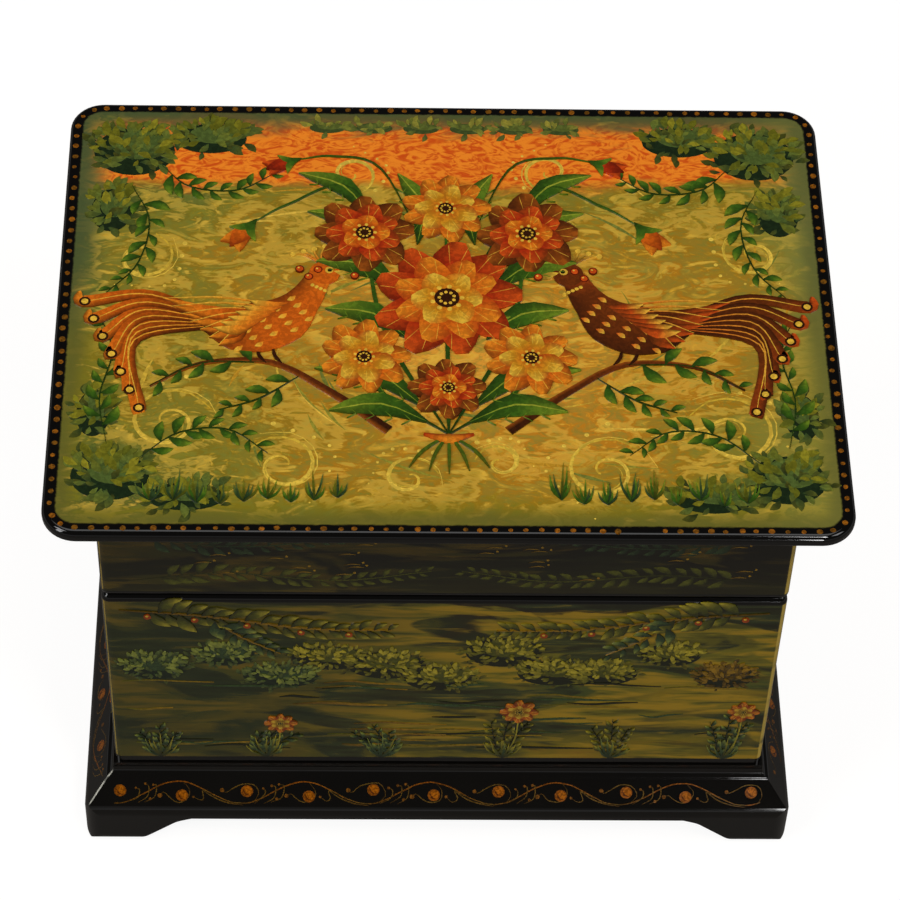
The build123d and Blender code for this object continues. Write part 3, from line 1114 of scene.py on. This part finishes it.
# %% Curls of the lid
random.seed(21)
art = Picture(*lid_face)
for centre, radius, angle, turns in lid_curls:
    curl(art, centre, radius, angle, turns, 0.9, (tint(206, 176, 84), pale, tint(220, 186, 92)))
    curl(art, centre, radius * 1.16, angle - 0.5, turns * 0.8, 0.3, (pale, tint(196, 170, 80)), 2)
    row = [Vector(centre) + turned(angle + turns * k, radius * 1.35) for k in (0.6, 1.6, 2.6)]
    dot_row(art, row, 8, 0.55, pale)
for k in range(swirl_arcs):
    reach = random.uniform(nearest_swirl, farthest_swirl)
    angle = random.uniform(0, 2 * math.pi)
    sweep = random.uniform(0.25, 0.8) * nearest_swirl / reach
    arc = []
    for n in range(5):
        step = turned(angle + sweep * n / 4, reach * (1 + 0.03 * n))
        arc.append((swirl_centre[0] + step.x, swirl_centre[1] + step.y * swirl_squash))
    if all(abs(px) < 72 and abs(py) < 49 for px, py in arc):
        tone = random.choice(swirl_tones)
        art.stroke(arc, (0.1, random.uniform(0.4, 1.0), 0.1), (tone, tone), 0, 10)
art.close("lid_curls", "lid", "lid_painting", brush_paint)

# %% Bushes, sprays and grass of the lid
corner_bushes = (
    ((66, 44), (10, 8), 120),
    ((50, 48), (9, 5), 70),
    ((70, 27), (5, 7), 60),
    ((67, -44), (9, 7), 100),
    ((52, -49), (9, 4), 60),
    ((71, -28), (4, 7), 50),
)
side_sprays = (
    [(60, 40), (54, 34), (44, 33), (36, 38)],
    [(66, 34), (62, 24), (64, 12), (70, 4)],
    [(62, -40), (54, -33), (44, -32), (36, -38)],
    [(68, -36), (70, -24), (68, -12), (71, -2)],
)

art = Picture(*lid_face, lift=0.05)
for side in (-1, 1):
    for place, reach, count in corner_bushes:
        bush(art, (side * place[0], place[1]), reach, count, 3.2, teal + moss[1:], 1)
    for points in side_sprays:
        spray(art, [(side * px, py) for px, py in points], 15, 5.2, green, 4)
    for k in range(9):
        base = Vector((side * (22 + 4.6 * k), -50 + random.uniform(-1, 1)))
        tuft(art, base, random.uniform(5, 9), 7, (moss, green, teal), 5, 0.6, 0.55)
for k in range(6):
    bush(art, (-25 + 10 * k, 51.5), (4.5, 1.8), 16, 2.4, far_green, 1)
art.close("lid_bushes", "lid", "lid_painting", brush_paint)

# %% Birds of the lid
bird_size = 24.5
coats = {-1: (umber[0], orange[1], orange[2], honey[2]), 1: (umber[0], umber[1], scarlet[2], honey[2])}

random.seed(8)
art = Picture(*lid_face, lift=0.3)
for side in (-1, 1):
    branch = [(side * 12, -32), (side * 24, -22), (side * 36, -14.5), (side * 50, -15), (side * 60, -21)]
    art.stroke(branch, (2.2, 1.6, 1.3, 0.9, 0.4), (umber[0], umber[1], umber[0]), 3, 20, umber[2])
    spray(art, branch[2:], 8, 6, green, 4)
    spray(art, [(side * 30, -18), (side * 38, -24), (side * 46, -27)], 8, 5, green, 4)
    bird(art, (side * 37.5, -4), -side, bird_size, coats[side])
art.close("lid_birds", "lid", "lid_painting", brush_paint)

# %% Flower heads and leaves of the bouquet
golden = (orange[1], honey[1], honey[2])
warm_rings = [(9, 1.0, scarlet, scarlet[0]), (8, 0.76, orange, scarlet[1]), (6, 0.5, golden, orange[1])]
dark_rings = [(8, 1.0, umber, umber[0]), (7, 0.72, scarlet, umber[1]), (5, 0.46, orange, scarlet[1])]
light_rings = [(9, 1.0, orange, umber[1]), (7, 0.7, golden, scarlet[1])]
heads = [
    ((0, 3), 15.5, warm_rings),
    ((-17, 21), 11, dark_rings),
    ((17, 21), 11, dark_rings),
    ((0, 28), 9.5, light_rings),
    ((-17, -13), 9.5, light_rings),
    ((17, -13), 9.5, light_rings),
    ((0, -21), 8, dark_rings),
]
broad_leaves = (
    ((4, -30), (24, -27), 6),
    ((5, -26), (27, -16), 6),
    ((8, -8), (25, 0), 6),
    ((10, 6), (27, 13), 6.5),
    ((8, 14), (29, 27), 6),
    ((6, 18), (10, 38), 5.5),
    ((16, 26), (31, 38), 5),
    ((3, -8), (13, -2), 5),
)
knot = Vector((0, -33))
ribbon = [(-5, -33), (0, -34.2), (5, -33)]
print("bouquet of", len(heads), "heads")

# %% Bouquet of the lid
random.seed(14)
art = Picture(*lid_face, lift=0.36)
for place, radius, rings in heads:
    head = Vector(place)
    art.line([knot, (knot + head) / 2 + Vector((head.x * 0.25, 0)), head], 0.9, (green[0], green[1]), 8, 16)
for side in (-1, 1):
    for base, tip, width in broad_leaves:
        start, end = (side * base[0], base[1]), (side * tip[0], tip[1])
        leaf(art, start, end, width, green, side * 0.16, 9, green[0])
        leaf(art, start, end, 0.4, (green[2], tint(176, 184, 96)), side * 0.16, 10)
        for k in range(1, 5):
            spot = Vector(start).lerp(Vector(end), k / 5.5)
            for swing in (-0.7, 0.7):
                angle = math.atan2(end[1] - start[1], end[0] - start[0]) + swing
                vein = [spot + turned(angle, width * share) for share in (0.0, 0.2, 0.36)]
                art.line(vein, 0.2, (green[2], green[1]), 10, 4)
    stem = [(side * 8, 12), (side * 20, 34), (side * 33, 29), (side * 40, 24)]
    art.line(stem, 0.5, (green[0], green[1]), 9, 16)
    bud(art, stem[3], (side * 45, 17), 5.5, orange, green, 10)
    stem = [(side * 6, 22), (side * 14, 40), (side * 24, 43), (side * 31, 42)]
    art.line(stem, 0.45, (green[0], green[1]), 9, 16)
    bud(art, stem[3], (side * 38, 39), 4.5, scarlet, green, 10)
    for k in range(7):
        spot = Vector((side * (19 + 1.9 * k), 9 + 5.5 * math.sin(k * 0.9) + k))
        art.dot(spot, 0.95, scarlet[0], 10, 12)
        art.dot(spot, 0.72, scarlet[2], 11, 10)
        art.dot(spot + Vector((-0.2, 0.25)), 0.22, pale, 12, 6)
for place, radius, rings in heads:
    flower(art, place, radius, rings, (umber[0], honey[2]), 12)
for k in range(5):
    end = Vector((-8 + 4 * k, -43 + 0.8 * abs(k - 2)))
    art.line([knot, (knot + end) / 2 + Vector((k - 2, 0)) * 0.6, end], 0.7, (green[1], moss[1]), 9, 8)
art.stroke(ribbon, (0.5, 2.4, 0.5), (scarlet[1], orange[2], scarlet[1]), 13, 12, scarlet[0])
art.close("lid_bouquet", "lid", "lid_painting", brush_paint)

# %% [markdown]
# ## Pictures on the walls
#
# The walls carry a dusky meadow in olive, ochre and teal, lit from one side by a low
# sun. The same motifs serve here, in duller colours and with less contrast, because
# a bright wall would steal the lid's place. At the back the picture stops short of
# the hinge's bevel, or the open lid would cut into the paint.

# %% Colours of the walls
dusk = (tint(24, 28, 18), tint(76, 80, 36), tint(160, 150, 70))
dusk_teal = (tint(22, 34, 32), tint(50, 70, 64), tint(128, 138, 92))
dusk_ochre = (tint(76, 58, 24), tint(140, 110, 40), tint(196, 164, 78))
dusk_red = (tint(74, 26, 12), tint(138, 58, 20), tint(190, 112, 46))
wall_margin = 2.4
bevel_room = {"back": 3.4}
print("pictures stay", wall_margin, "mm off the walls' edges")


def side_picture(side):
    """A picture on an upright side. Its up coordinate is the level above the ground."""
    out, distance, _ = side_faces[side]
    return Picture(out * distance, upward.cross(out), upward)


# %% Mist and clump
def mist(art, half_width, low, count):
    """Level strokes that drift across the ground, pale ones and dark ones."""
    tones = (dusk_ochre[:2], (dusk_teal[1], dusk_teal[1]), (dusk[1], dusk_ochre[1]), (dusk[0], dusk[0]))
    for k in range(count):
        length = random.uniform(4, 13)
        place = random.uniform(-half_width + length, half_width - length)
        level = low + random.uniform(3, 28)
        swell = random.uniform(-0.9, 0.9)
        rises = ((-1, 0), (-1 / 3, 1), (1 / 3, 0), (1, -1 / 2))
        line = [(place + length * share, level + swell * rise) for share, rise in rises]
        art.line(line, random.uniform(0.3, 0.8), random.choice(tones), 1, 14)


def clump(art, place, low, height, lean, flowering):
    """Leafy stems with grass at their foot, and on some a flower."""
    palette = random.choice((dusk, dusk_teal))
    for swing in (-1.0, 0.1, 1.0):
        tall = height * (1 - 0.25 * abs(swing))
        tip = (place + lean * 0.6 + swing * 4, low + tall)
        stem = [(place + swing, low), (place + swing * 2, low + tall * 0.5), tip]
        spray(art, stem, 9, 3.2, palette, 6, None, 0.22)
    tuft(art, (place, low), 9, 8, (dusk, dusk_teal), 8, 0.8, 0.5)
    if flowering:
        head = Vector((place + 3, low + height * 0.8 + 3))
        art.line([(place, low), (place + 2.4, low + height * 0.4), head], 0.35, (dusk[1], dusk[2]), 7)
        rings = [(8, 1.0, dusk_red, dusk_red[0]), (6, 0.62, dusk_ochre, dusk_red[1])]
        flower(art, head, random.uniform(3.4, 4.4), rings, (dusk[0], dusk_ochre[2]), 9)


def branch(art, side, half_width, high):
    """A leafy branch with berries, and a twig below it, from an upper corner."""
    places = (half_width - 1, half_width * 0.72, half_width * 0.42, half_width * 0.16)
    bough = [(side * place, high - drop) for place, drop in zip(places, (2, 4, 8, 8.5))]
    spray(art, bough, round(half_width / 2.0), 6.4, dusk, 5, dusk_ochre[:2], 0.6)
    twig = [bough[1], (side * half_width * 0.62, high - 11), (side * half_width * 0.5, high - 17)]
    spray(art, twig, 12, 5.4, dusk_teal, 5, dusk_ochre[:2], 0.4)
    for k in range(5):
        spot, _ = along(bough, 0.1 + 0.18 * k)
        art.dot(spot + Vector((0.5, -1.7)), 0.8, dusk_red[1], 8, 10)
        art.dot(spot + Vector((0.4, -1.4)), 0.34, dusk_ochre[2], 9, 8)


# %% Meadow on each wall
def meadow(art, half_width, low, high):
    """Bushes behind, mist before them, then grass and flowers, and branches above."""
    count = round(half_width / 6)
    for k in range(count):
        place = -half_width + 9 + (2 * half_width - 18) * k / (count - 1) + random.uniform(-1.5, 1.5)
        level = low + 34 + 5 * math.sin(k * 2.3) + random.uniform(-1, 1)
        reach = (random.uniform(7, 10), random.uniform(4, 6))
        palette = random.choice((dusk, dusk_teal, dusk, (dusk[0], dusk_ochre[0], dusk_ochre[1])))
        bush(art, (place, level), reach, 150, 1.7, palette, 0)
    mist(art, half_width, low, round(half_width * 0.6))
    clumps = round(half_width / 11)
    for k in range(clumps):
        place = -half_width + 7 + (2 * half_width - 14) * k / (clumps - 1) + random.uniform(-2, 2)
        height = random.uniform(12, 20)
        lean = max(-half_width + 4 - place, min(half_width - 4 - place, random.uniform(-5, 5)))
        clump(art, place, low, height, lean, k % 2)
    for side in (-1, 1):
        branch(art, side, half_width, high)


random.seed(31)
for side, (_, _, half_length) in side_faces.items():
    art = side_picture(side)
    high = wall_high.z - wall_margin - bevel_room.get(side, 0.0)
    meadow(art, half_length - wall_margin, strip_high.z + wall_margin, high)
    art.close(f"wall_meadow_{side}", "box", "side_painting", brush_paint)


# %% Garland on each side of the rim
def garland(art, half_width, low, high):
    """Two faint leafy branches that meet over the middle, with touches of gold."""
    middle = (low + high) / 2
    for side in (-1, 1):
        places = (half_width - 2, half_width * 0.66, half_width * 0.33, 3)
        line = [(side * place, low + rise) for place, rise in zip(places, (3, 6, 3.6, 7))]
        spray(art, line, round(half_width / 1.9), 4.6, (dusk[0], dusk[1], dusk[1]), 1, dusk[:2], 0.4)
        places = (half_width - 3, half_width * 0.6, half_width * 0.25)
        line = [(side * place, middle + rise) for place, rise in zip(places, (4, 1, 5))]
        spray(art, line, round(half_width / 2.4), 4.2, dusk_teal[:2], 1, dusk_teal[:2], 0.3)
    for k in range(round(half_width / 3)):
        place = random.uniform(-half_width + 5, half_width - 5)
        level = low + random.uniform(2, 16)
        touch = [(place, level), (place + 1.6, level + 0.4), (place + 3.4, level + 0.2)]
        art.line(touch, 0.3, (dusk_ochre[0], dusk_ochre[1]), 3, 6)
        art.dot((place + 4, level + 0.9), 0.3, dusk_ochre[1], 3, 8)


garland_foot = 2.2
garland_top = 1.0
random.seed(37)
for side, (_, _, half_length) in side_faces.items():
    art = side_picture(side)
    low = rim_low.z + garland_foot + bevel_room.get(side, 0.0)
    garland(art, half_length - wall_margin, low, rim_high.z - garland_top)
    art.close(f"rim_garland_{side}", "lid", "side_painting", brush_paint)
